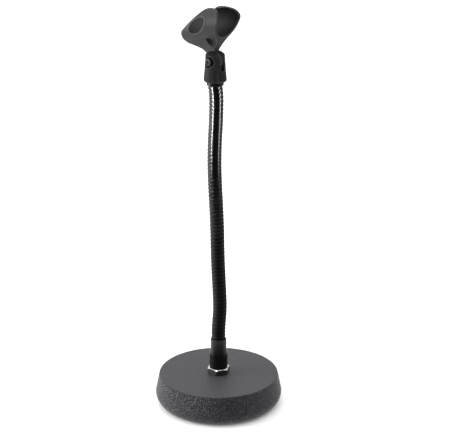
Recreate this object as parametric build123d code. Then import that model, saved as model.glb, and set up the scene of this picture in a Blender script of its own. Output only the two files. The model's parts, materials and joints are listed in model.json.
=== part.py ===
from build123d import *
import math
import os

# Desktop microphone stand: a round cast base, a stack of 5/8-27 hardware, a gooseneck built as a
# chain of ball-ended ribbed links, and a swivelling, tilting C-shaped microphone clip.
# Millimetres, +Z up, origin on the table under the middle of the base.

# ---- base -------------------------------------------------------------------------------------
BASE_TOP_Z = 31.0
BASE_TOP_R = 61.1
BASE_MAX_R = 65.0
BASE_MAX_Z = 12.2
BASE_BOTTOM_R = 60.2
BASE_BULGE_IN = 1.2
BASE_BULGE_Z = 6.1
BASE_EDGE_ROUND = 1.0
FOOT_STAND_OFF = 1.2
RECESS_R = 46.5
RECESS_TOP_Z = 20.0
BOSS_R = 17.0
BOSS_BOTTOM_Z = 12.4
CASTING_DRAFT = 0.8
FOOT_R = 5.0
FOOT_THICKNESS = 3.0
FOOT_CHAMFER = 0.6
FOOT_CIRCLE_R = 53.2
FOOT_COUNT = 4

# ---- 5/8-27 thread and its hardware -------------------------------------------------------------
THREAD_R = 15.875 / 2
THREAD_PITCH = 25.4 / 27
THREAD_DEPTH = 0.5
THREAD_CREST = 0.15
RUNNING_GAP = 0.05
THREAD_BORE_R = THREAD_R + RUNNING_GAP
STUD_BOTTOM_Z = 2.6
STUD_TOP_Z = 51.0
WASHER_R = 14.5
WASHER_THICKNESS = 1.8
LOCK_WASHER_R = 12.2
LOCK_WASHER_THICKNESS = 1.8
LOCK_WASHER_GAP = 2.0
LOCK_WASHER_CUT_LEAN = 28
NUT_FLATS = 22.2
NUT_THICKNESS = 5.4
NUT_CROWN = 0.96
NUT_CHAMFER_ANGLE = 30
JAM_NUT_FLATS = 20.6
JAM_NUT_THICKNESS = 6.3
JAM_NUT_TURN = 18.0

# ---- lower ferrule --------------------------------------------------------------------------------
FERRULE_BOTTOM_Z = BASE_TOP_Z + JAM_NUT_THICKNESS
FERRULE_TOP_Z = 68.6
FERRULE_R = 9.3
FERRULE_NECK_R = 8.15
FERRULE_SHOULDER_Z = 52.5
FERRULE_NECK_Z = 58.0
FERRULE_POCKET_DEPTH = 12.0
FERRULE_GROOVE = 0.4
FERRULE_GROOVE_BELOW = 1.6
FERRULE_EDGE = 0.4

# ---- gooseneck ------------------------------------------------------------------------------------
NECK_R = 7.15
NECK_ROOT_R = 6.6
NECK_BORE_R = 4.0
NECK_TOP_Z = 333.6
HINGE_COUNT = 12
RIB_PITCH = 3.9
BALL_R = 7.15
SOCKET_R = 7.5
SOCKET_LIP = 3.0
# The resting curve: height along the neck and the sideways offset of its centreline.
NECK_CURVE = [
    (68.6, 0.0),
    (97.0, 1.3),
    (124.0, 0.8),
    (157.0, -0.6),
    (195.0, -1.4),
    (248.0, -3.6),
    (285.0, -2.9),
    (318.0, -1.6),
    (333.6, -2.7),
]
NECK_TOP_LEAN = 0.1
HEAD_X = NECK_CURVE[-1][1]

# ---- upper adapter --------------------------------------------------------------------------------
ADAPTER_FLANGE_R = 8.3
ADAPTER_FLANGE_TOP_Z = 337.7
ADAPTER_THREAD_TOP_Z = 346.9
ADAPTER_CHAMFER = 1.0
ADAPTER_EDGE = 0.4
ADAPTER_SPIGOT_R = 3.6
ADAPTER_SPIGOT_DEPTH = 3.0

# ---- swivelling yoke ------------------------------------------------------------------------------
YOKE_BOTTOM_Z = 338.0
YOKE_BOTTOM_R = 11.5
YOKE_TOP_R = 9.7
YOKE_CHAMFER = 1.4
YOKE_FLUTE_R = 6.0
YOKE_FLUTE_DEPTH = 0.8
YOKE_FLUTE_TOP_Z = 351.0
PIVOT_Z = 358.0
EAR_R = 9.5
EAR_CROWN_R = 11.8
EAR_CROWN_DROP = 1.0
EAR_TOP_TAPER = 0.5
SLOT_WIDTH = 4.8
SLOT_FLOOR_Z = 348.9
INSERT_R = 9.4
INSERT_TOP_Z = 347.4
INSERT_GAP = 0.02
INSERT_GROOVE = 0.6
INSERT_INSET = 0.3
HEAD_TURN = -43.0

# ---- pivot hardware, across the ears -----------------------------------------------------------------
PIVOT_R = 2.5
PIVOT_CLEAR_R = 2.6
NEAR_EAR_Y = -7.0
FAR_POCKET_Y = 5.6
SPOT_FACE_R = 5.6
PIVOT_WASHER_R = 4.6
PIVOT_WASHER_THICKNESS = 1.0
PIVOT_WASHER_GAP = 0.8
SCREW_HEAD_R = 4.4
SCREW_HEAD_HEIGHT = 2.6
SCREW_HEAD_EDGE = 1.0
SCREW_HEAD_CROWN = 0.25
CROSS_LENGTH = 4.6
CROSS_WIDTH = 0.9
CROSS_DEPTH = 1.4
SCREW_END_Y = 9.9
PIVOT_NUT_FLATS = 8.0
PIVOT_NUT_THICKNESS = 4.0

# ---- microphone clip, seen from the side with the pivot at 0, 0 and the front towards +X --------------
CLIP_TILT = 12.0
CLIP_OUTER_R = 16.9
CLIP_BORE_R = 14.1
CLIP_CENTRE = (-4.6, 35.9)
CLIP_MOUTH = 12.0
TONGUE_THICKNESS = 4.2
TONGUE_R = 8.6
EAR_CLEARANCE_R = 10.0
CLIP_NECK_HALF_WIDTH = 3.9
CLIP_NECK_TOP = -26.5
FLARE_START = 54.0
REAR_NECK = (-8.4, 7.2)
KEEL_MIDDLE = (-12.8, 10.2)
KEEL_REAR = (-30.4, 14.6)
REAR_TIP = (-30.2, 26.0)
CREST_REAR = (-3.0, 51.9)
CREST_FRONT = (5.5, 51.9)
RIM_UPPER = (14.2, 49.9)
RIM_MIDDLE = (18.4, 44.0)
RIM_BOTTOM = (8.8, 21.6)
FRONT_NECK = (1.5, 10.3)
# Rounding radius at each corner of the side outline.
CORNER_ROUNDS = {
    KEEL_MIDDLE: 9,
    KEEL_REAR: 4,
    REAR_TIP: 10,
    CREST_REAR: 11,
    CREST_FRONT: 24,
    RIM_UPPER: 9,
    RIM_MIDDLE: 6.4,
    RIM_BOTTOM: 30,
}
# Thumb-sized hollow in each flank of the neck, placed along, across and below the tube's axis.
FLANK_HOLLOW_R = 7.0
FLANK_HOLLOW = (2.0, 11.3, -20.4)
CLIP_REACH = 60.0
TONGUE_BLEND_R = 14.0
OVAL_HALF_LENGTH = 13.5
OVAL_HALF_HEIGHT = 7.2
OVAL_WIDTH = 1.3
OVAL_HEIGHT = 0.55
OVAL_BACK = 3.8
OVAL_TILT = 37.5


def turned(points):
    """A solid of revolution about Z from (radius, height) corners."""
    outline = Polyline([(r, 0, z) for r, z in points], close=True)
    return revolve(make_face(outline), Axis.Z)


def ring(outer, inner, bottom, top):
    return turned([(inner, bottom), (outer, bottom), (outer, top), (inner, top)])


def disc(radius, bottom, top):
    return Pos(0, 0, bottom) * extrude(Circle(radius), top - bottom)


def threaded_rod(bottom, top):
    """Rod with the thread's crests and roots as rings, chamfered at both ends."""
    root = THREAD_R - THREAD_DEPTH
    turns = int((top - bottom - 2 * THREAD_DEPTH) / THREAD_PITCH)
    start = (bottom + top - turns * THREAD_PITCH) / 2
    points = [(0, bottom), (root, bottom), (root, start)]
    for turn in range(turns):
        foot = start + turn * THREAD_PITCH
        middle = foot + THREAD_PITCH / 2
        points.append((THREAD_R, middle - THREAD_CREST / 2))
        points.append((THREAD_R, middle + THREAD_CREST / 2))
        points.append((root, foot + THREAD_PITCH))
    points += [(root, top), (0, top)]
    return turned(points)


def hex_nut(flats, bottom, thickness, bore):
    """Hexagon nut whose corners are turned down to a cone on both faces, as on a machined nut."""
    block = Pos(0, 0, bottom) * extrude(RegularPolygon(flats / 2, 6, major_radius=False), thickness)
    corner = flats / math.sqrt(3) + 0.01
    crown = flats / 2 * NUT_CROWN
    drop = (corner - crown) * math.tan(math.radians(NUT_CHAMFER_ANGLE))
    top = bottom + thickness
    cone = [(0, bottom), (crown, bottom), (corner, bottom + drop), (corner, top - drop), (crown, top), (0, top)]
    return (block & turned(cone)) - disc(bore, bottom, top)


def split_washer(outer, inner, bottom, thickness, gap):
    washer = ring(outer, inner, bottom, bottom + thickness)
    middle = Pos((outer + inner) / 2, 0, bottom + thickness / 2)
    cut = middle * Rot(LOCK_WASHER_CUT_LEAN, 0, 0) * Box(outer, gap, thickness * 3)
    return washer - cut


def base_casting():
    """Thick disc with drafted sides, a rounded bottom, a hollow underside and a central boss."""
    bottom = FOOT_STAND_OFF
    top_corner = (BASE_TOP_R, 0, BASE_TOP_Z)
    widest = (BASE_MAX_R, 0, BASE_MAX_Z)
    foot_edge = (BASE_BOTTOM_R, 0, bottom)
    edge = Polyline((THREAD_BORE_R, 0, BASE_TOP_Z), top_corner, widest)
    bulge = (BASE_MAX_R - BASE_BULGE_IN, 0, BASE_BULGE_Z)
    under = ThreePointArc(widest, bulge, foot_edge)
    inside = Polyline(
        foot_edge,
        (RECESS_R + CASTING_DRAFT, 0, bottom),
        (RECESS_R, 0, RECESS_TOP_Z),
        (BOSS_R + CASTING_DRAFT, 0, RECESS_TOP_Z),
        (BOSS_R, 0, BOSS_BOTTOM_Z),
        (THREAD_BORE_R, 0, BOSS_BOTTOM_Z),
        (THREAD_BORE_R, 0, BASE_TOP_Z),
    )
    body = revolve(make_face([edge, under, inside]), Axis.Z)
    rim = [e for e in body.edges() if abs(e.center().Z - BASE_TOP_Z) < 0.01 and e.length > 300]
    body = fillet(rim, BASE_EDGE_ROUND)
    for foot in feet_places():
        body -= foot * disc(FOOT_R + RUNNING_GAP, 0, FOOT_THICKNESS)
    return body


def feet_places():
    step = 360 / FOOT_COUNT
    return [Rot(0, 0, step * (i + 0.5)) * Pos(FOOT_CIRCLE_R, 0, 0) for i in range(FOOT_COUNT)]


def rubber_feet():
    rim = FOOT_R - FOOT_CHAMFER
    pad = turned([(0, 0), (rim, 0), (FOOT_R, FOOT_CHAMFER), (FOOT_R, FOOT_THICKNESS), (0, FOOT_THICKNESS)])
    return Compound([place * pad for place in feet_places()])


def lower_ferrule():
    """Machined sleeve: threaded below, stepped down to a crimped collar around the neck's end."""
    pocket = FERRULE_TOP_Z - FERRULE_POCKET_DEPTH
    groove = FERRULE_TOP_Z - FERRULE_GROOVE_BELOW
    thread_end = STUD_TOP_Z + 1
    bore = NECK_R + RUNNING_GAP
    return turned([
        (THREAD_BORE_R, FERRULE_BOTTOM_Z),
        (FERRULE_R - FERRULE_EDGE, FERRULE_BOTTOM_Z),
        (FERRULE_R, FERRULE_BOTTOM_Z + FERRULE_EDGE),
        (FERRULE_R, FERRULE_SHOULDER_Z),
        (FERRULE_NECK_R, FERRULE_NECK_Z),
        (FERRULE_NECK_R, groove - FERRULE_GROOVE),
        (FERRULE_NECK_R - FERRULE_GROOVE, groove),
        (FERRULE_NECK_R, groove + FERRULE_GROOVE),
        (FERRULE_NECK_R, FERRULE_TOP_Z - FERRULE_EDGE),
        (FERRULE_NECK_R - FERRULE_EDGE, FERRULE_TOP_Z),
        (bore, FERRULE_TOP_Z),
        (bore, pocket),
        (NECK_BORE_R, pocket),
        (NECK_BORE_R, thread_end),
        (THREAD_BORE_R, thread_end),
    ])


def neck_points():
    """Bottom of the flexible run, each hinge centre, and its top, along the resting curve.
    The first link stands straight up out of the ferrule."""
    knots = [(x, 0, z) for z, x in NECK_CURVE]
    curve = Spline(knots, tangents=[(0, 0, 1), (-NECK_TOP_LEAN, 0, 1)])
    stations = [0] + [(i + 0.5) / HINGE_COUNT for i in range(HINGE_COUNT)] + [1]
    points = [curve.position_at(s) for s in stations]
    points[1] = Vector(points[0].X, 0, points[1].Z)
    return points


def ribbed_tube(low, high, shank=0):
    """Tube along Z whose outside is a row of rounded ribs, with a smooth shank of this length below."""
    ribs = round((high - low) / RIB_PITCH)
    step = (high - low) / ribs
    inside = [(NECK_ROOT_R, 0, high), (NECK_BORE_R, 0, high), (NECK_BORE_R, 0, low - shank)]
    outside = [(NECK_R, 0, low - shank), (NECK_R, 0, low)] if shank else []
    edges = [Polyline(*inside, *outside, (NECK_ROOT_R, 0, low))]
    for rib in range(ribs):
        foot = low + rib * step
        crest = (NECK_R, 0, foot + step / 2)
        edges.append(ThreePointArc((NECK_ROOT_R, 0, foot), crest, (NECK_ROOT_R, 0, foot + step)))
    return revolve(make_face(edges), Axis.Z)


def ball_end(height):
    """Domed end that the next link's socket turns on, centred on the hinge at this height."""
    dome = Pos(0, 0, height) * Sphere(BALL_R, arc_size1=0)
    return dome - disc(NECK_BORE_R, height - 1, height + 2 * BALL_R)


def gooseneck_link(start, end, first, last):
    """One link between two points of the resting curve. The first has a shank for the ferrule in place of
    a socket, and the last is cut level in place of a ball."""
    length = (end - start).length
    link = ribbed_tube(0, length, FERRULE_POCKET_DEPTH) if first else ribbed_tube(SOCKET_LIP, length)
    if not last:
        link += ball_end(length)
    if not first:
        link -= Sphere(SOCKET_R)
    link = Plane(origin=start, z_dir=end - start, x_dir=(1, 0, 0)) * link
    if last:
        link &= Pos(end.X, 0, 0) * disc(2 * NECK_R, 0, NECK_TOP_Z)
    return link


def gooseneck_links():
    points = neck_points()
    last = len(points) - 2
    return {
        f"gooseneck_link_{i:02d}": gooseneck_link(points[i], points[i + 1], i == 0, i == last)
        for i in range(last + 1)
    }


def upper_adapter():
    """Flanged end fitting: a spigot in the neck below and the 5/8-27 thread above."""
    flange = turned([
        (0, NECK_TOP_Z),
        (ADAPTER_FLANGE_R - ADAPTER_CHAMFER, NECK_TOP_Z),
        (ADAPTER_FLANGE_R, NECK_TOP_Z + ADAPTER_CHAMFER),
        (ADAPTER_FLANGE_R, ADAPTER_FLANGE_TOP_Z - ADAPTER_EDGE),
        (ADAPTER_FLANGE_R - ADAPTER_EDGE, ADAPTER_FLANGE_TOP_Z),
        (0, ADAPTER_FLANGE_TOP_Z),
    ])
    spigot = disc(ADAPTER_SPIGOT_R, NECK_TOP_Z - ADAPTER_SPIGOT_DEPTH, NECK_TOP_Z)
    thread = threaded_rod(ADAPTER_FLANGE_TOP_Z, ADAPTER_THREAD_TOP_Z)
    return Pos(HEAD_X, 0, 0) * (flange + spigot + thread)


def thread_insert():
    """Brass bush moulded into the yoke, with two retaining grooves around it."""
    band = (INSERT_TOP_Z - YOKE_BOTTOM_Z) / 5
    bottom = YOKE_BOTTOM_Z + INSERT_INSET
    root = INSERT_R - INSERT_GROOVE
    points = [(THREAD_BORE_R, bottom), (INSERT_R, bottom)]
    for level in (1, 3):
        low = YOKE_BOTTOM_Z + level * band
        points += [(INSERT_R, low), (root, low), (root, low + band), (INSERT_R, low + band)]
    points += [(INSERT_R, INSERT_TOP_Z), (THREAD_BORE_R, INSERT_TOP_Z)]
    return Pos(HEAD_X, 0, 0) * turned(points)


def head_place():
    """Frame of the clip's head: origin on the pivot, +X to the clip's front, Y along the pivot."""
    return Pos(HEAD_X, 0, PIVOT_Z) * Rot(0, 0, HEAD_TURN)


def across(radius, low, high):
    """Round bar along the pivot axis between two places on Y."""
    return Pos(0, low, 0) * Rot(-90, 0, 0) * disc(radius, 0, high - low)


def yoke_flute(angle, bottom, top):
    lean = math.degrees(math.atan((YOKE_BOTTOM_R - YOKE_TOP_R) / -bottom))
    reach = YOKE_BOTTOM_R + YOKE_FLUTE_R - YOKE_FLUTE_DEPTH
    cutter = disc(YOKE_FLUTE_R, -YOKE_FLUTE_R, top - bottom) + Pos(0, 0, top - bottom) * Sphere(YOKE_FLUTE_R)
    return Rot(0, 0, angle) * Pos(reach, 0, bottom) * Rot(0, -lean, 0) * cutter


def clip_yoke():
    """Tapered swivel body with a threaded-insert socket below and two ears around the tongue."""
    bottom = YOKE_BOTTOM_Z - PIVOT_Z
    body = turned([
        (0, bottom),
        (YOKE_BOTTOM_R - YOKE_CHAMFER, bottom),
        (YOKE_BOTTOM_R, bottom + YOKE_CHAMFER),
        (YOKE_TOP_R, 0),
        (YOKE_TOP_R - EAR_TOP_TAPER, EAR_R),
        (0, EAR_R),
    ])
    for quarter in range(4):
        body -= yoke_flute(45 + 90 * quarter, bottom, YOKE_FLUTE_TOP_Z - PIVOT_Z)
    reach = YOKE_BOTTOM_R + 1
    domed = across(EAR_R, -reach, reach) + Pos(0, 0, bottom / 2) * Box(2 * reach, 2 * reach, -bottom)
    crown = Pos(0, 0, -EAR_CROWN_DROP) * Sphere(EAR_CROWN_R)
    body &= domed & (crown + Pos(0, 0, bottom / 2 - EAR_CROWN_DROP) * Box(2 * reach, 2 * reach, -bottom))
    slot_floor = SLOT_FLOOR_Z - PIVOT_Z
    body -= Pos(0, 0, slot_floor + EAR_R * 2) * Box(4 * reach, SLOT_WIDTH, EAR_R * 4)
    body -= disc(INSERT_R + INSERT_GAP, bottom, INSERT_TOP_Z - PIVOT_Z)
    body -= across(PIVOT_CLEAR_R, -reach, reach)
    body -= across(SPOT_FACE_R, -reach, NEAR_EAR_Y)
    pocket = extrude(RegularPolygon(PIVOT_NUT_FLATS / 2 + RUNNING_GAP, 6, major_radius=False), reach)
    body -= Pos(0, FAR_POCKET_Y, 0) * Rot(-90, 0, 0) * pocket
    return head_place() * body


def pivot_screw():
    """Pan-head screw with a cross recess, its head on the near ear."""
    seat = NEAR_EAR_Y - PIVOT_WASHER_THICKNESS
    head = turned([
        (0, 0),
        (SCREW_HEAD_R, 0),
        (SCREW_HEAD_R, SCREW_HEAD_HEIGHT - SCREW_HEAD_EDGE),
        (SCREW_HEAD_R - SCREW_HEAD_EDGE, SCREW_HEAD_HEIGHT - SCREW_HEAD_CROWN),
        (0, SCREW_HEAD_HEIGHT),
    ])
    for angle in (0, 90):
        cross = Box(CROSS_LENGTH, CROSS_WIDTH, 2 * CROSS_DEPTH)
        head -= Pos(0, 0, SCREW_HEAD_HEIGHT) * Rot(0, 0, angle) * cross
    head = Pos(0, seat, 0) * Rot(90, 0, 0) * head
    shank = across(PIVOT_R, seat, SCREW_END_Y)
    return head_place() * (head + shank)


def pivot_washer():
    washer = split_washer(PIVOT_WASHER_R, PIVOT_CLEAR_R, 0, PIVOT_WASHER_THICKNESS, PIVOT_WASHER_GAP)
    return head_place() * Pos(0, NEAR_EAR_Y, 0) * Rot(90, 0, 0) * washer


def pivot_nut():
    nut = hex_nut(PIVOT_NUT_FLATS, 0, PIVOT_NUT_THICKNESS, PIVOT_R + RUNNING_GAP)
    return head_place() * Pos(0, FAR_POCKET_Y, 0) * Rot(-90, 0, 0) * nut


def rounded(sketch, point, radius):
    corner = min(sketch.vertices(), key=lambda v: (v.center() - Vector(*point, 0)).length)
    return fillet(corner, radius)


def clip_side():
    """The clip seen from the side, as a sketch in X and Z."""
    corners = [REAR_NECK, *CORNER_ROUNDS, FRONT_NECK, (0, 0)]
    side = make_face(Polyline(corners, close=True))
    for point, radius in CORNER_ROUNDS.items():
        side = rounded(side, point, radius)
    return side


def clip_envelope():
    """Round tube flaring down in two hollow curves to the straight neck, as a sketch across the tube."""
    start = math.radians(FLARE_START)
    shoulder = Vector(CLIP_OUTER_R * math.cos(start), -CLIP_OUTER_R * math.sin(start))
    neck = Vector(CLIP_NECK_HALF_WIDTH, CLIP_NECK_TOP)
    step = shoulder - neck
    flare_r = (step.X**2 + step.Y**2) / (2 * step.X)
    lean = math.atan2(step.Y, flare_r - step.X) / 2
    middle = neck + Vector(flare_r * (1 - math.cos(lean)), flare_r * math.sin(lean))
    foot = Vector(CLIP_NECK_HALF_WIDTH, 2 * CLIP_NECK_TOP)
    right = [ThreePointArc(shoulder, middle, neck), Line(neck, foot)]
    left = [mirror(edge, Plane.YZ) for edge in right]
    top = Line(shoulder, left[0] @ 0)
    base = Line(foot, left[1] @ 1)
    return Circle(CLIP_OUTER_R) + make_face([*right, *left, top, base])


def mic_clip():
    """C-shaped trough for the microphone, with petal walls, a neck and the pivot tongue."""
    tilt = math.radians(CLIP_TILT)
    along = Vector(math.cos(tilt), 0, math.sin(tilt))
    centre = Vector(CLIP_CENTRE[0], 0, CLIP_CENTRE[1])
    tube = Plane(origin=centre, x_dir=(0, 1, 0), z_dir=along)
    reach = CLIP_REACH
    side = Plane.XZ * clip_side()
    body = extrude(tube * clip_envelope(), reach, both=True) & extrude(side, CLIP_OUTER_R + 1, both=True)
    body -= extrude(tube * Circle(CLIP_BORE_R), reach, both=True)
    mouth = tube * Pos(0, reach / 2, 0) * Rectangle(CLIP_MOUTH, reach)
    body -= extrude(mouth, reach, both=True)
    along_tube, aside, below = FLANK_HOLLOW
    for side_sign in (-1, 1):
        body -= tube * Pos(side_sign * aside, below, along_tube) * Sphere(FLANK_HOLLOW_R)
    body -= across(EAR_CLEARANCE_R, -reach, reach)
    slope = math.radians(OVAL_TILT)
    oval_along = Vector(math.cos(slope), 0, math.sin(slope))
    oval_plane = Plane(origin=centre - along * OVAL_BACK, x_dir=oval_along, z_dir=(0, -1, 0))
    outer = Ellipse(OVAL_HALF_LENGTH, OVAL_HALF_HEIGHT)
    inner = Ellipse(OVAL_HALF_LENGTH - OVAL_WIDTH, OVAL_HALF_HEIGHT - OVAL_WIDTH)
    ovals = extrude(oval_plane * (outer - inner), CLIP_OUTER_R + 1, both=True)
    shell = extrude(tube * (Circle(CLIP_OUTER_R + OVAL_HEIGHT) - Circle(CLIP_OUTER_R - 0.5)), reach, both=True)
    body += ovals & shell
    tongue_side = (side & (Plane.XZ * Circle(TONGUE_BLEND_R))) + Plane.XZ * Circle(TONGUE_R)
    body += extrude(tongue_side, TONGUE_THICKNESS / 2, both=True)
    body -= across(PIVOT_R + RUNNING_GAP, -reach, reach)
    return head_place() * body


def hardware():
    """Everything that clamps the ferrule to the base."""
    washer_top = BOSS_BOTTOM_Z
    lock_top = washer_top - WASHER_THICKNESS
    nut_top = lock_top - LOCK_WASHER_THICKNESS
    return {
        "base_stud": threaded_rod(STUD_BOTTOM_Z, STUD_TOP_Z),
        "stud_flat_washer": ring(WASHER_R, THREAD_BORE_R, lock_top, washer_top),
        "stud_lock_washer": split_washer(
            LOCK_WASHER_R, THREAD_BORE_R, nut_top, LOCK_WASHER_THICKNESS, LOCK_WASHER_GAP
        ),
        "stud_hex_nut": hex_nut(NUT_FLATS, nut_top - NUT_THICKNESS, NUT_THICKNESS, THREAD_BORE_R),
        "chrome_jam_nut": Rot(0, 0, JAM_NUT_TURN)
        * hex_nut(JAM_NUT_FLATS, BASE_TOP_Z, JAM_NUT_THICKNESS, THREAD_BORE_R),
    }


def all_nodes():
    return {
        "base_casting": base_casting(),
        "rubber_feet": rubber_feet(),
        **hardware(),
        "lower_ferrule": lower_ferrule(),
        **gooseneck_links(),
        "upper_adapter": upper_adapter(),
        "thread_insert": thread_insert(),
        "clip_yoke": clip_yoke(),
        "pivot_screw": pivot_screw(),
        "pivot_washer": pivot_washer(),
        "pivot_nut": pivot_nut(),
        "mic_clip": mic_clip(),
    }


os.makedirs("parts", exist_ok=True)
for name, shape in all_nodes().items():
    export_step(shape, f"parts/{name}.step")
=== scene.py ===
import json
import math

import bmesh
import bpy
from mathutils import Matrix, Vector


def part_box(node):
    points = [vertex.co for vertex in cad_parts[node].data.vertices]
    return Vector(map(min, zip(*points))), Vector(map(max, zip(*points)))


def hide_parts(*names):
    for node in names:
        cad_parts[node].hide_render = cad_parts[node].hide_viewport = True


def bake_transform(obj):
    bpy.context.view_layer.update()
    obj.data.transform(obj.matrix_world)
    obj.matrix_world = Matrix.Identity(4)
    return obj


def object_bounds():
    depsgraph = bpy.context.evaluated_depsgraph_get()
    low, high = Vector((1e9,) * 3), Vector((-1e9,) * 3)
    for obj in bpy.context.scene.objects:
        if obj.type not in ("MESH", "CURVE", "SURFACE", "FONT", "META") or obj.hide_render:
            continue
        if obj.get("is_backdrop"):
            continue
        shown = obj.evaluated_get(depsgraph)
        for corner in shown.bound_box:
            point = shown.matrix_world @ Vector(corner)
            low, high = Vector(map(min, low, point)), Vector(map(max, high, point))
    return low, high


# Desktop microphone stand: grey enamelled base, chrome jam nut, black ferrule, wound gooseneck and a
# matt plastic microphone clip. Metres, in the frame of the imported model.

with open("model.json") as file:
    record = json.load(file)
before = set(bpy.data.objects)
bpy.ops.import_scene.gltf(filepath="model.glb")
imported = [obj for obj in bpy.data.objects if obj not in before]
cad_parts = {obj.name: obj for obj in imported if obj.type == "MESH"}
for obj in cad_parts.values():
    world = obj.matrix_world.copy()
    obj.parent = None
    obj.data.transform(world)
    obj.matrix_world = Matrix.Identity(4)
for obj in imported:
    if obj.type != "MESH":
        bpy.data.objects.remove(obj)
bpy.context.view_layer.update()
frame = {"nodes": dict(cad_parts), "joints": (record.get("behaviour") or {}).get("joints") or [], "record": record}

MM = 0.001

# ---- camera and light -----------------------------------------------------------------------------
CAMERA_PLACE = (0.00814, -1.3167, 0.6504)
CAMERA_DOWN = 19.01
CAMERA_LENS = 111.26
CAMERA_SENSOR = 36.0
CAMERA_CLIP_END = 50.0
FLOOR_SIZE = 40.0
FLOOR_SQUARES = 24
FLOOR_GLOW = 0.12

# Brightness of the room's parts, and the directions between which one passes into the next.
ROOM_FRONT = 0.05
WALL_LEFT = 0.9
WALL_RIGHT = 0.6
SIDEWAYS = (-0.7, 0.7)
BACKWARDS = (-0.85, 0.1)

OVERHEAD = 2.7
OVERHEAD_SPREAD = 110
OVERHEAD_TURN = (-10, 4, 0)

PANEL_AZIMUTH = -88
PANEL_DISTANCE = 1.3
PANEL_HEIGHT = 0.40
PANEL_AIM = (0, 0, 0.2)
PANEL_SIZE = (0.6, 0.8)
PANEL_POWER = 16.0

GLINT_PLACE = (0, 0.25, 1.6)
GLINT_AIM = (0, 0, 0.06)
GLINT_SIZE = (0.7, 0.7)
GLINT_POWER = 2.0

# Strips beside the upper neck, as name, azimuth, width and watts per metre, and the runs of each, as
# name, share of the power, and start and end below the top of the neck.
STRIPS = [("left_strip", -52, 0.0090, 3.24), ("right_strip", 66, 0.0075, 1.43)]
STRIP_RUNS = [
    ("bright", 1.0, -0.0185, 0.078),
    ("fading", 0.12, 0.078, 0.1015),
    ("faint", 0.015, 0.1015, 0.1515),
]
STRIP_DISTANCE = 0.06
STRIP_COILS = 7

# ---- wound gooseneck, as radii from the neck's centreline and widths along it -----------------------
COIL_PITCH = 3.9 * MM
COIL_STEPS_PER_TURN = 40
COIL_TAIL = 6.0 * MM
FILLER_CROWN_R = 7.15 * MM
FILLER_EDGE_R = 6.95 * MM
FILLER_INNER_R = 5.25 * MM
FILLER_HALF_WIDTH = 1.3 * MM
FILLER_FOOT_HALF_WIDTH = 1.0 * MM
FILLER_CROWN_POINTS = 9
WIRE_R = 1.1 * MM
WIRE_CENTRE_R = 5.25 * MM
WIRE_POINTS = 12

# ---- colours, as one or as a dark and a light one ---------------------------------------------------
# Painted shade: the enamel's side colours are darker than its top colours.
ENAMEL_SIDE_PAINTED_SHADE = ((0.006, 0.0062, 0.0072), (0.044, 0.045, 0.053))
ENAMEL_TOP = ((0.038, 0.0385, 0.042), (0.050, 0.0505, 0.055))
# Painted shade: the chrome's flat colours are far darker than its face colours.
CHROME_FLATS_PAINTED_SHADE = ((0.10, 0.10, 0.105), (0.18, 0.18, 0.185))
CHROME_FACE = ((0.82, 0.82, 0.83), (0.94, 0.94, 0.95))
BLACK_LACQUER = ((0.002, 0.002, 0.0022), (0.006, 0.006, 0.0065))
BLACK_WIRE = ((0.0015, 0.0015, 0.0016), (0.005, 0.005, 0.0053))
# Painted reflection: the pale grey mixed into the black towards the top.
PAINTED_REFLECTION_GREY = (0.045, 0.045, 0.044)
WORN_LACQUER = (0.05, 0.05, 0.052)
YOKE_PLASTIC = ((0.012, 0.012, 0.0125), (0.025, 0.025, 0.026))
CLIP_PLASTIC = ((0.023, 0.023, 0.024), (0.039, 0.039, 0.040))
# Dark coarse colour: a darker inset in the ovals, and painted shade in the clip's bore and hollows.
COARSE_PLASTIC_AND_PAINTED_SHADE = (0.004, 0.004, 0.0043)
# Painted highlight: the lighter colour along the plastic's edges.
EDGE_HIGHLIGHT_PLASTIC = (0.13, 0.13, 0.132)
BRASS = ((0.60, 0.42, 0.18), (0.78, 0.60, 0.30))
STUD_STEEL = ((0.35, 0.35, 0.36), (0.55, 0.55, 0.56))
ZINC = ((0.50, 0.51, 0.53), (0.70, 0.71, 0.72))
SCREW_STEEL = ((0.018, 0.018, 0.019), (0.05, 0.05, 0.053))
RUBBER = ((0.008, 0.008, 0.008), (0.030, 0.030, 0.029))
PAPER = ((0.86, 0.86, 0.86), (0.90, 0.90, 0.90))

# ---- finishes ---------------------------------------------------------------------------------------
# ROUGH is a surface's roughness where it is smoothest and where it is roughest. LEVEL is the rise of the
# normal up to which a face counts as a side and the rise from which it counts as level. REFLECTION is the
# height at which a painted reflection starts to pale the black and the height at which it is strongest.
MIDDLE_NOISE = (0.3, 0.7)
EDGE_SAMPLES = 6
EDGE_FADE = 0.4 * MM
ENAMEL_LEVEL = (0.6, 0.95)
ENAMEL_CELLS = 620
ENAMEL_GRIT = 1100
ENAMEL_DEPTH = 1.8 * MM
ENAMEL_LEFT_ON_TOP = 0.16
CHROME_LEVEL = (0.35, 0.7)
CHROME_ROUGH = (0.30, 0.42)
SLEEVE_ROUGH = (0.10, 0.22)
ADAPTER_ROUGH = (0.25, 0.4)
ADAPTER_REFLECTION = (0.34, 0.40)
WIRE_ROUGH = (0.13, 0.24)
DULL_WIRE = 0.36
DULL_WIRE_TOP = 0.19
GLOSSY_WIRE_FROM = 0.25
BRASS_ROUGH = (0.25, 0.4)
STUD_ROUGH = (0.28, 0.45)
ZINC_ROUGH = (0.22, 0.4)
SCREW_ROUGH = (0.40, 0.55)
PLASTIC_ROUGH = (0.45, 0.60)
PLASTIC_GRAIN = 0.035 * MM
PLASTIC_ROUNDING = 0.35 * MM
EDGE_HIGHLIGHT_WIDTH = 1.2 * MM

# ---- softened edges ---------------------------------------------------------------------------------
WELD_WITHIN = 0.001 * MM
ROUNDING_SEGMENTS = 3
ROUNDED_ABOVE = 32
SMOOTH_BELOW = 30
CLIP_ROUNDING = 0.5 * MM
YOKE_ROUNDING = 0.35 * MM

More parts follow.
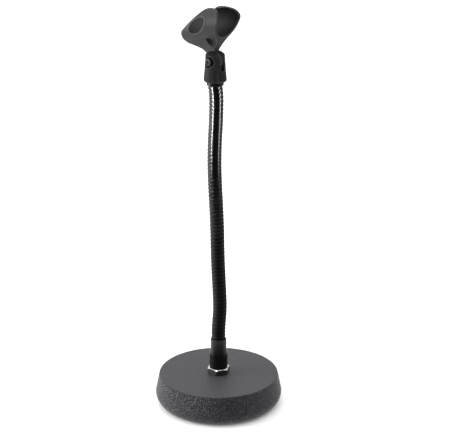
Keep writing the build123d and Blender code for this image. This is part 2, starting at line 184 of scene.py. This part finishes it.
# ---- ovals on the clip's flanks, from the bore's middle; the lean is from the bore's axis ------------
OVAL_BACK = 0.9 * MM
OVAL_LEAN = 25.5
OVAL_HALF_LENGTH = 12.4 * MM
OVAL_HALF_HEIGHT = 6.1 * MM

# ---- hollows under the clip's flanks, painted darker as painted shade, from the bore's middle --------
HOLLOW_ALONG = 4.9 * MM
HOLLOW_ASIDE = 11.3 * MM
HOLLOW_ABOVE = -20.4 * MM
HOLLOW_R = 7.2 * MM


# ---- shader graphs --------------------------------------------------------------------------------
RANGE_SOCKETS = ("From Min", "From Max", "To Min", "To Max")


class Graph:
    """One material's node tree, with short calls for the nodes the finishes share."""

    def __init__(self, name):
        self.material = bpy.data.materials.new(name)
        self.material.use_nodes = True
        self.tree = self.material.node_tree
        self.shader = next(n for n in self.tree.nodes if n.type == "BSDF_PRINCIPLED")
        self.place = self.node("ShaderNodeTexCoord").outputs["Object"]

    def node(self, kind, **settings):
        made = self.tree.nodes.new(kind)
        for key, value in settings.items():
            setattr(made, key, value)
        return made

    def link(self, source, target):
        self.tree.links.new(source, target)

    def set(self, **values):
        for key, value in values.items():
            self.shader.inputs[key.replace("_", " ")].default_value = value

    def noise(self, scale, detail, roughness=0.55, stretch=(1, 1, 1)):
        mapping = self.node("ShaderNodeMapping")
        mapping.inputs["Scale"].default_value = stretch
        self.link(self.place, mapping.inputs["Vector"])
        made = self.node("ShaderNodeTexNoise")
        made.inputs["Scale"].default_value = scale
        made.inputs["Detail"].default_value = detail
        made.inputs["Roughness"].default_value = roughness
        self.link(mapping.outputs["Vector"], made.inputs["Vector"])
        return made.outputs["Fac"]

    def cells(self, scale):
        made = self.node("ShaderNodeTexVoronoi", feature="SMOOTH_F1")
        made.inputs["Scale"].default_value = scale
        self.link(self.place, made.inputs["Vector"])
        return made.outputs["Distance"]

    def spread(self, value, low, high, to_low, to_high):
        made = self.node("ShaderNodeMapRange")
        self.link(value, made.inputs["Value"])
        for name, number in zip(RANGE_SOCKETS, (low, high, to_low, to_high)):
            made.inputs[name].default_value = number
        return made.outputs["Result"]

    def middle(self, noise, low, high):
        """Low to high over the middle of a noise's range, where nearly all of it lies."""
        return self.spread(noise, *MIDDLE_NOISE, low, high)

    def math(self, operation, a, b):
        made = self.node("ShaderNodeMath", operation=operation)
        for socket, value in zip(made.inputs, (a, b)):
            if isinstance(value, (int, float)):
                socket.default_value = value
            else:
                self.link(value, socket)
        return made.outputs["Value"]

    def height(self):
        axes = self.node("ShaderNodeSeparateXYZ")
        self.link(self.place, axes.inputs["Vector"])
        return axes.outputs["Z"]

    def facing_up(self, steep, level):
        """0 up to the steep limit of the normal's rise and 1 from the level limit on."""
        axes = self.node("ShaderNodeSeparateXYZ")
        self.link(self.node("ShaderNodeTexCoord").outputs["Normal"], axes.inputs["Vector"])
        return self.spread(axes.outputs["Z"], steep, level, 0.0, 1.0)

    def vector_math(self, operation, a, b):
        made = self.node("ShaderNodeVectorMath", operation=operation)
        for socket, value in zip(made.inputs, (a, b)):
            if isinstance(value, Vector):
                socket.default_value = value
            elif value:
                self.link(value, socket)
        return made.outputs["Value" if operation in ("DOT_PRODUCT", "LENGTH") else "Vector"]

    def axis_distance(self, point, direction):
        """Distance from the line through a point."""
        offset = self.vector_math("SUBTRACT", self.place, point)
        return self.vector_math("LENGTH", self.vector_math("CROSS_PRODUCT", offset, direction), None)

    def near(self, point, radius):
        """1 inside a ball round a point, fading to 0 just outside it."""
        distance = self.vector_math("LENGTH", self.vector_math("SUBTRACT", self.place, point), None)
        return self.spread(distance, radius, radius + EDGE_FADE, 1.0, 0.0)

    def in_ellipse(self, point, long_half, short_half):
        """1 inside the ellipse with these two half axes, seen square on, and 0 outside it."""
        offset = self.vector_math("SUBTRACT", self.place, point)
        parts = []
        for half in (long_half, short_half):
            part = self.vector_math("DOT_PRODUCT", offset, half / half.length_squared)
            parts.append(self.math("MULTIPLY", part, part))
        total = self.math("ADD", *parts)
        return self.spread(total, 0.8, 1.0, 1.0, 0.0)

    def rounded_normal(self, radius):
        """Normal of the surface as if its edges were rounded."""
        bevel = self.node("ShaderNodeBevel", samples=EDGE_SAMPLES)
        bevel.inputs["Radius"].default_value = radius
        return bevel.outputs["Normal"]

    def edges(self, radius):
        """1 along sharp edges and 0 on the flats, from how far a rounded normal leans."""
        flat = self.node("ShaderNodeNewGeometry").outputs["Normal"]
        lean = self.vector_math("DOT_PRODUCT", self.rounded_normal(radius), flat)
        return self.spread(lean, 1.0, 0.85, 0.0, 1.0)

    def mix(self, factor, under, over):
        """Under where the factor is 0 and over where it is 1; each is a colour or another node's output."""
        made = self.node("ShaderNodeMix", data_type="RGBA")
        self.link(factor, made.inputs["Factor"])
        for name, value in (("A", under), ("B", over)):
            if isinstance(value, tuple):
                made.inputs[name].default_value = (*value, 1)
            else:
                self.link(value, made.inputs[name])
        return made.outputs["Result"]

    def colour(self, value):
        self.link(value, self.shader.inputs["Base Color"])

    def rough(self, value):
        self.link(value, self.shader.inputs["Roughness"])

    def bump(self, height, distance, strength, rounding=None):
        made = self.node("ShaderNodeBump")
        made.inputs["Strength"].default_value = strength
        made.inputs["Distance"].default_value = distance
        self.link(height, made.inputs["Height"])
        if rounding:
            self.link(self.rounded_normal(rounding), made.inputs["Normal"])
        self.link(made.outputs["Normal"], self.shader.inputs["Normal"])


def wrinkle_enamel():
    """Grey stove enamel: a coarse wrinkle down the sides, nearly smooth on the level top. The sides carry painted
    shade, darker than the top and darkest between the wrinkle crests.
    """
    g = Graph("wrinkle_enamel")
    level = g.facing_up(*ENAMEL_LEVEL)
    ridges = g.math("MULTIPLY", g.cells(ENAMEL_CELLS), 0.9)
    grit = g.math("MULTIPLY", g.noise(ENAMEL_GRIT, 3), 0.7)
    wrinkle = g.math("ADD", ridges, grit)
    # Painted shade: the sides are coloured darker than the top, darkest between the wrinkle crests.
    side = g.mix(g.spread(wrinkle, 0.5, 0.95, 0.0, 1.0), *ENAMEL_SIDE_PAINTED_SHADE)
    g.colour(g.mix(level, side, g.mix(g.noise(28, 5), *ENAMEL_TOP)))
    g.rough(g.math("ADD", g.spread(wrinkle, 0.3, 1.1, 0.36, 0.20), g.math("MULTIPLY", level, 0.26)))
    g.set(Specular_IOR_Level=0.4)
    share = g.spread(level, 0.0, 1.0, 1.0, ENAMEL_LEFT_ON_TOP)
    g.bump(g.math("MULTIPLY", wrinkle, share), ENAMEL_DEPTH, 0.85)
    return g.material


def polished_chrome():
    """Chrome, polished on the nut's face and chamfers and rougher on its flats, whose colour is painted dark as
    painted shade standing for the dark base they reflect.
    """
    g = Graph("polished_chrome")
    smear = g.noise(160, 4)
    level = g.facing_up(*CHROME_LEVEL)
    g.set(Metallic=1.0)
    # Painted shade: the flats are coloured far darker than the face and chamfers.
    g.colour(g.mix(level, g.mix(smear, *CHROME_FLATS_PAINTED_SHADE), g.mix(smear, *CHROME_FACE)))
    g.rough(g.math("SUBTRACT", g.middle(smear, *CHROME_ROUGH), g.math("MULTIPLY", level, 0.24)))
    g.bump(g.noise(2600, 2), 0.004 * MM, 0.5, rounding=0.25 * MM)
    return g.material


def gloss_black(name, rough, reflection_low, reflection_high):
    """Glossy black over turned metal: faint turning lines, lighter at the edges, and painted paler towards the top
    as a painted reflection.
    """
    g = Graph(name)
    turning = g.noise(900, 3, stretch=(0.05, 0.05, 1))
    handling = g.noise(140, 4)
    # Painted reflection: the black is coloured paler towards the top.
    paler = g.spread(g.height(), reflection_low, reflection_high, 0.0, 0.6)
    black = g.mix(paler, g.mix(handling, *BLACK_LACQUER), PAINTED_REFLECTION_GREY)
    g.colour(g.mix(g.math("MULTIPLY", g.edges(0.3 * MM), 0.5), black, WORN_LACQUER))
    g.rough(g.middle(handling, *rough))
    g.set(Specular_IOR_Level=0.35)
    g.bump(turning, 0.02 * MM, 0.4, rounding=0.2 * MM)
    return g.material


def coil_black():
    """Black plated wire: glossy where hands bend the upper neck, duller towards the base."""
    g = Graph("coil_black")
    handling = g.noise(220, 4)
    g.colour(g.mix(handling, *BLACK_WIRE))
    dull = g.spread(g.height(), DULL_WIRE_TOP, GLOSSY_WIRE_FROM, DULL_WIRE, 0.0)
    g.rough(g.math("ADD", dull, g.middle(handling, *WIRE_ROUGH)))
    g.set(Specular_IOR_Level=0.35)
    g.bump(g.noise(1800, 2), 0.015 * MM, 0.35)
    return g.material


def moulded_plastic(name, colours, gloss, edge_highlight):
    """Matt dark grey plastic, coloured lighter along its edges as a painted highlight: its graph, grain and colour
    so far.
    """
    g = Graph(name)
    grain = g.noise(2300, 2, 0.6)
    g.set(Specular_IOR_Level=gloss)
    body = g.mix(g.noise(60, 4), *colours)
    # Painted highlight: the edges are coloured lighter.
    return g, grain, g.mix(g.math("MULTIPLY", g.edges(EDGE_HIGHLIGHT_WIDTH), edge_highlight), body, EDGE_HIGHLIGHT_PLASTIC)


def yoke_plastic():
    g, grain, body = moulded_plastic("yoke_plastic", YOKE_PLASTIC, gloss=0.08, edge_highlight=0.5)
    g.colour(body)
    g.rough(g.middle(grain, *PLASTIC_ROUGH))
    g.bump(grain, PLASTIC_GRAIN, 0.6, rounding=PLASTIC_ROUNDING)
    return g.material


def clip_plastic():
    """The clip's plastic, with darker and coarser faces in its bore, inside the ovals on its flanks and in the
    hollows under them; the darkness is painted shade in the bore and the hollows, and a darker inset in the ovals.
    """
    g, grain, body = moulded_plastic("clip_plastic", CLIP_PLASTIC, gloss=0.26, edge_highlight=0.8)
    bore = next(m for m in frame["record"]["mounts"] if m["name"] == "mic_bore")
    centre, along = Vector(bore["pos_m"]), Vector(bore["axis"])
    across = along.cross(Vector((0, 0, 1))).normalized()
    above = across.cross(along)
    lean = math.radians(OVAL_LEAN)
    oval_long = OVAL_HALF_LENGTH * (along * math.cos(lean) + above * math.sin(lean))
    oval_short = OVAL_HALF_HEIGHT * (above * math.cos(lean) - along * math.sin(lean))
    radius = bore["dims"]["r_mm"] * MM
    in_bore = g.spread(g.axis_distance(centre, along), radius + 0.1 * MM, radius + EDGE_FADE, 1.0, 0.0)
    pad = g.in_ellipse(centre - along * OVAL_BACK, oval_long, oval_short)
    coarse = g.math("MAXIMUM", in_bore, pad)
    for side in (-1, 1):
        hollow = centre + HOLLOW_ALONG * along + side * HOLLOW_ASIDE * across + HOLLOW_ABOVE * above
        coarse = g.math("MAXIMUM", coarse, g.near(hollow, HOLLOW_R))
    # Painted shade: the bore and the hollows take the dark coarse colour; the ovals take it as a darker inset.
    g.colour(g.mix(coarse, body, COARSE_PLASTIC_AND_PAINTED_SHADE))
    g.rough(g.math("ADD", g.middle(grain, *PLASTIC_ROUGH), g.math("MULTIPLY", coarse, 0.15)))
    rough_face = g.math("MULTIPLY", g.math("MULTIPLY", g.noise(900, 3), coarse), 3.0)
    g.bump(g.math("ADD", grain, rough_face), PLASTIC_GRAIN, 0.6, rounding=PLASTIC_ROUNDING)
    return g.material


def turned_metal(name, colours, rough):
    g = Graph(name)
    turning = g.noise(700, 4, stretch=(0.15, 0.15, 1))
    g.set(Metallic=1.0)
    g.colour(g.mix(turning, *colours))
    g.rough(g.middle(turning, *rough))
    g.bump(g.noise(1500, 3), 0.02 * MM, 0.4, rounding=0.15 * MM)
    return g.material


def foot_rubber():
    g = Graph("foot_rubber")
    paler = g.noise(400, 5)
    g.colour(g.mix(paler, *RUBBER))
    g.rough(g.middle(paler, 0.62, 0.85))
    g.bump(g.noise(1800, 3), 0.04 * MM, 0.6, rounding=0.3 * MM)
    return g.material


def pale_floor():
    g = Graph("pale_floor")
    paper = g.noise(9, 4)
    g.colour(g.mix(paper, *PAPER))
    g.rough(g.middle(paper, 0.82, 0.92))
    g.set(Specular_IOR_Level=0.1, Emission_Color=(1, 1, 1, 1), Emission_Strength=FLOOR_GLOW)
    g.bump(g.noise(400, 3), 0.05 * MM, 0.2)
    return g.material


# ---- wound gooseneck --------------------------------------------------------------------------------
HINGES = [Vector(j["pos_m"]) for j in frame["joints"] if j["name"].startswith("neck_bend")]


def neck_knots():
    """Points that the neck's centreline goes through: its lower end, each hinge and its upper end."""
    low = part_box("lower_ferrule")
    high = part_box("gooseneck_link_12")
    foot = Vector(((low[0].x + low[1].x) / 2, 0, low[1].z))
    swivel = next(j for j in frame["joints"] if j["name"] == "clip_swivel")
    return [foot, *HINGES, Vector((swivel["pos_m"][0], 0, high[1].z))]


KNOTS = neck_knots()


def slope_at(i):
    """Sideways run per unit of height at knot i; the neck leaves the ferrule straight up."""
    if i == 0:
        return 0.0
    before, after = KNOTS[i - 1], KNOTS[min(i + 1, len(KNOTS) - 1)]
    return (after.x - before.x) / (after.z - before.z)


SLOPES = [slope_at(i) for i in range(len(KNOTS))]


def neck_at(z):
    """(centre, tangent) of the neck at height z, by cubic pieces between the knots."""
    if z <= KNOTS[0].z:
        return Vector((KNOTS[0].x, 0, z)), Vector((0, 0, 1))
    if z >= KNOTS[-1].z:
        return Vector((KNOTS[-1].x, 0, z)), Vector((0, 0, 1))
    i = max(k for k in range(len(KNOTS) - 1) if KNOTS[k].z <= z)
    span = KNOTS[i + 1].z - KNOTS[i].z
    t = (z - KNOTS[i].z) / span
    x0, x1, m0, m1 = KNOTS[i].x, KNOTS[i + 1].x, SLOPES[i] * span, SLOPES[i + 1] * span
    x = (
        (2 * t**3 - 3 * t**2 + 1) * x0
        + (t**3 - 2 * t**2 + t) * m0
        + (3 * t**2 - 2 * t**3) * x1
        + (t**3 - t**2) * m1
    )
    dx = (
        (6 * t**2 - 6 * t) * (x0 - x1)
        + (3 * t**2 - 4 * t + 1) * m0
        + (3 * t**2 - 2 * t) * m1
    ) / span
    return Vector((x, 0, z)), Vector((dx, 0, 1)).normalized()


def filler_section():
    """Crowned wedge between the turns of round wire, as (radius, along) points that crowd at its edges."""
    points = []
    for k in range(FILLER_CROWN_POINTS):
        across = -math.cos(math.pi * k / (FILLER_CROWN_POINTS - 1))
        radius = FILLER_CROWN_R - (FILLER_CROWN_R - FILLER_EDGE_R) * across**2
        points.append((radius, across * FILLER_HALF_WIDTH))
    points.append((FILLER_INNER_R, FILLER_FOOT_HALF_WIDTH))
    points.append((FILLER_INNER_R, -FILLER_FOOT_HALF_WIDTH))
    return points


def wire_section():
    points = []
    for k in range(WIRE_POINTS):
        angle = 2 * math.pi * k / WIRE_POINTS
        points.append((WIRE_CENTRE_R + WIRE_R * math.cos(angle), COIL_PITCH / 2 + WIRE_R * math.sin(angle)))
    return points


def wind(mesh, section, low, high):
    """Adds one wire to a bmesh: the section swept round the neck from height low to height high."""
    steps = round((high - low) / COIL_PITCH * COIL_STEPS_PER_TURN)
    rings = []
    for step in range(steps + 1):
        z = low + (high - low) * step / steps
        angle = 2 * math.pi * (z - KNOTS[0].z) / COIL_PITCH
        corners = []
        for radius, along in section:
            centre, tangent = neck_at(z + along)
            side = Vector((tangent.z, 0, -tangent.x))
            corners.append(centre + radius * (side * math.cos(angle) + Vector((0, math.sin(angle), 0))))
        rings.append([mesh.verts.new(c) for c in corners])
    count = len(section)
    for a, b in zip(rings, rings[1:]):
        for k in range(count):
            mesh.faces.new((a[k], a[(k + 1) % count], b[(k + 1) % count], b[k]))
    mesh.faces.new(rings[0])
    mesh.faces.new(reversed(rings[-1]))


def cut_above(mesh, height):
    """Cuts a bmesh level at a height, drops what is above it and closes the cut."""
    cut = bmesh.ops.bisect_plane(
        mesh,
        geom=mesh.verts[:] + mesh.edges[:] + mesh.faces[:],
        plane_co=(0, 0, height),
        plane_no=(0, 0, 1),
        clear_outer=True,
    )
    edges = [e for e in cut["geom_cut"] if isinstance(e, bmesh.types.BMEdge)]
    bmesh.ops.holes_fill(mesh, edges=edges, sides=0)


def add_mesh(mesh, name, material):
    data = bpy.data.meshes.new(name)
    bmesh.ops.recalc_face_normals(mesh, faces=mesh.faces[:])
    for face in mesh.faces:
        face.smooth = True
    mesh.to_mesh(data)
    mesh.free()
    made = bpy.data.objects.new(name, data)
    bpy.context.collection.objects.link(made)
    data.materials.append(material)
    return made


def neck_coil(material):
    """The wound neck in one piece for each hinge, cut half way between hinges."""
    bottom, top = KNOTS[0].z, KNOTS[-1].z
    share = (top - bottom) / len(HINGES)
    pieces = []
    for i in range(len(HINGES)):
        low, high = bottom + i * share, bottom + (i + 1) * share
        last = i == len(HINGES) - 1
        mesh = bmesh.new()
        for section in (filler_section(), wire_section()):
            wind(mesh, section, low - (COIL_TAIL if i == 0 else 0), high + (COIL_PITCH if last else 0))
        if last:
            cut_above(mesh, top)
        piece = add_mesh(mesh, f"neck_coil_{i + 1:02d}", material)
        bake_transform(piece)
        nodes = [f"gooseneck_link_{i + 1:02d}"] + (["gooseneck_link_00"] if i == 0 else [])
        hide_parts(*nodes)
        pieces.append(piece)
    return pieces


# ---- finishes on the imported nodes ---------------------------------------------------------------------
def finish_nodes(finishes):
    for names, material in finishes:
        for name in names:
            data = frame["nodes"][name].data
            data.materials.clear()
            data.materials.append(material)


def smooth_below(angle):
    """Node group that shades smooth except across edges sharper than this angle."""
    group = bpy.data.node_groups.new("smooth_below", "GeometryNodeTree")
    group.interface.new_socket("Mesh", in_out="INPUT", socket_type="NodeSocketGeometry")
    group.interface.new_socket("Mesh", in_out="OUTPUT", socket_type="NodeSocketGeometry")
    start, end = group.nodes.new("NodeGroupInput"), group.nodes.new("NodeGroupOutput")
    bend = group.nodes.new("GeometryNodeInputMeshEdgeAngle")
    sharp = group.nodes.new("FunctionNodeCompare")
    sharp.data_type, sharp.operation = "FLOAT", "GREATER_THAN"
    sharp.inputs["B"].default_value = angle
    normals = group.nodes.new("GeometryNodeSetMeshNormal")
    normals.mode = "SHARPNESS"
    group.links.new(bend.outputs["Unsigned Angle"], sharp.inputs["A"])
    group.links.new(start.outputs[0], normals.inputs["Mesh"])
    group.links.new(sharp.outputs["Result"], normals.inputs["Edge Sharpness"])
    group.links.new(normals.outputs["Mesh"], end.inputs[0])
    return group


def soften(name, width, smoothing):
    """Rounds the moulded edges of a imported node."""
    node = frame["nodes"][name]
    node.modifiers.new("weld", "WELD").merge_threshold = WELD_WITHIN
    rounding = node.modifiers.new("rounding", "BEVEL")
    rounding.width = width
    rounding.segments = ROUNDING_SEGMENTS
    rounding.limit_method = "ANGLE"
    rounding.angle_limit = math.radians(ROUNDED_ABOVE)
    node.modifiers.new("smoothing", "NODES").node_group = smoothing


# ---- studio ---------------------------------------------------------------------------------------------
def add_camera():
    data = bpy.data.cameras.new("camera")
    data.lens = CAMERA_LENS
    data.sensor_width = CAMERA_SENSOR
    data.clip_end = CAMERA_CLIP_END
    camera = bpy.data.objects.new("camera", data)
    camera.location = CAMERA_PLACE
    camera.rotation_euler = (math.radians(90 - CAMERA_DOWN), 0, 0)
    bpy.context.collection.objects.link(camera)
    bpy.context.scene.camera = camera


def add_floor():
    mesh = bmesh.new()
    bmesh.ops.create_grid(mesh, x_segments=FLOOR_SQUARES, y_segments=FLOOR_SQUARES, size=FLOOR_SIZE / 2)
    floor = add_mesh(mesh, "floor", pale_floor())
    floor.visible_glossy = False
    floor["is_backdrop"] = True


def soft_box(name, place, aim, size, power, diffuse=True):
    data = bpy.data.lights.new(name, "AREA")
    data.shape = "RECTANGLE"
    data.size, data.size_y = size
    data.energy = power
    light = bpy.data.objects.new(name, data)
    light.location = place
    light.rotation_euler = (Vector(aim) - Vector(place)).to_track_quat("-Z", "Y").to_euler()
    light.visible_camera = False
    light.visible_diffuse = diffuse
    bpy.context.collection.objects.link(light)
    return light


def around(azimuth, distance, height):
    """A place this far from the neck, azimuth degrees to the right of straight in front."""
    angle = math.radians(azimuth)
    return (distance * math.sin(angle), -distance * math.cos(angle), height)


def add_sky():
    """Bright walls behind and beside the stand and a dark room in front of it."""
    world = bpy.data.worlds.new("studio")
    world.use_nodes = True
    nodes, links = world.node_tree.nodes, world.node_tree.links
    direction = nodes.new("ShaderNodeTexCoord")
    axes = nodes.new("ShaderNodeSeparateXYZ")
    across, depth = nodes.new("ShaderNodeMapRange"), nodes.new("ShaderNodeMapRange")
    for node, numbers in ((across, (*SIDEWAYS, WALL_LEFT, WALL_RIGHT)), (depth, (*BACKWARDS, 0.0, 1.0))):
        node.interpolation_type = "SMOOTHSTEP"
        for name, value in zip(RANGE_SOCKETS, numbers):
            node.inputs[name].default_value = value
    walls, room = nodes.new("ShaderNodeMath"), nodes.new("ShaderNodeMath")
    walls.operation, room.operation = "MULTIPLY", "ADD"
    room.inputs[1].default_value = ROOM_FRONT
    links.new(direction.outputs["Generated"], axes.inputs["Vector"])
    links.new(axes.outputs["X"], across.inputs["Value"])
    links.new(axes.outputs["Y"], depth.inputs["Value"])
    links.new(across.outputs["Result"], walls.inputs[0])
    links.new(depth.outputs["Result"], walls.inputs[1])
    links.new(walls.outputs["Value"], room.inputs[0])
    links.new(room.outputs["Value"], nodes["Background"].inputs["Strength"])
    nodes["Background"].inputs["Color"].default_value = (1, 1, 1, 1)
    bpy.context.scene.world = world


def overhead_light():
    """Large soft ceiling, for the matt surfaces only."""
    data = bpy.data.lights.new("overhead", "SUN")
    data.energy = OVERHEAD
    data.angle = math.radians(OVERHEAD_SPREAD)
    light = bpy.data.objects.new("overhead", data)
    light.rotation_euler = [math.radians(turn) for turn in OVERHEAD_TURN]
    light.visible_glossy = False
    bpy.context.collection.objects.link(light)


def add_lights(coils):
    """Walls, ceiling, a soft panel on the left and narrow strips that shine only on the upper neck."""
    add_sky()
    overhead_light()
    place = around(PANEL_AZIMUTH, PANEL_DISTANCE, PANEL_HEIGHT)
    panel = soft_box("left_panel", place, PANEL_AIM, PANEL_SIZE, PANEL_POWER)
    shaded = bpy.data.collections.new("shaded_from_panel")
    shaded.objects.link(frame["nodes"]["chrome_jam_nut"])
    shaded.collection_objects[0].light_linking.link_state = "EXCLUDE"
    panel.light_linking.receiver_collection = shaded
    soft_box("ceiling_glint", GLINT_PLACE, GLINT_AIM, GLINT_SIZE, GLINT_POWER, diffuse=False)
    neck_top = KNOTS[-1].z
    only_coils = bpy.data.collections.new("only_coils")
    for coil in coils[-STRIP_COILS:]:
        only_coils.objects.link(coil)
    for side, azimuth, width, power in STRIPS:
        for run, share, start, end in STRIP_RUNS:
            height, length = neck_top - (start + end) / 2, end - start
            place, aim = around(azimuth, STRIP_DISTANCE, height), (0, 0, height)
            watts = power * share * length
            strip = soft_box(f"{side}_{run}", place, aim, (width, length), watts, diffuse=False)
            strip.light_linking.receiver_collection = only_coils


add_camera()
add_floor()
add_lights(neck_coil(coil_black()))

low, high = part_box("lower_ferrule")
sleeve = gloss_black("sleeve_black", SLEEVE_ROUGH, low.z + 0.5 * (high.z - low.z), high.z)
finish_nodes([
    (["base_casting"], wrinkle_enamel()),
    (["chrome_jam_nut"], polished_chrome()),
    (["lower_ferrule"], sleeve),
    (["upper_adapter"], gloss_black("adapter_black", ADAPTER_ROUGH, *ADAPTER_REFLECTION)),
    (["mic_clip"], clip_plastic()),
    (["clip_yoke"], yoke_plastic()),
    (["rubber_feet"], foot_rubber()),
    (["thread_insert"], turned_metal("turned_brass", BRASS, BRASS_ROUGH)),
    (["base_stud"], turned_metal("stud_steel", STUD_STEEL, STUD_ROUGH)),
    (["stud_flat_washer", "stud_lock_washer", "stud_hex_nut"], turned_metal("zinc_plate", ZINC, ZINC_ROUGH)),
    (["pivot_screw", "pivot_washer", "pivot_nut"], turned_metal("screw_steel", SCREW_STEEL, SCREW_ROUGH)),
])

smoothing = smooth_below(math.radians(SMOOTH_BELOW))
soften("mic_clip", CLIP_ROUNDING, smoothing)
soften("clip_yoke", YOKE_ROUNDING, smoothing)

bpy.context.scene.view_settings.view_transform = "Standard"
low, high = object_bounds()
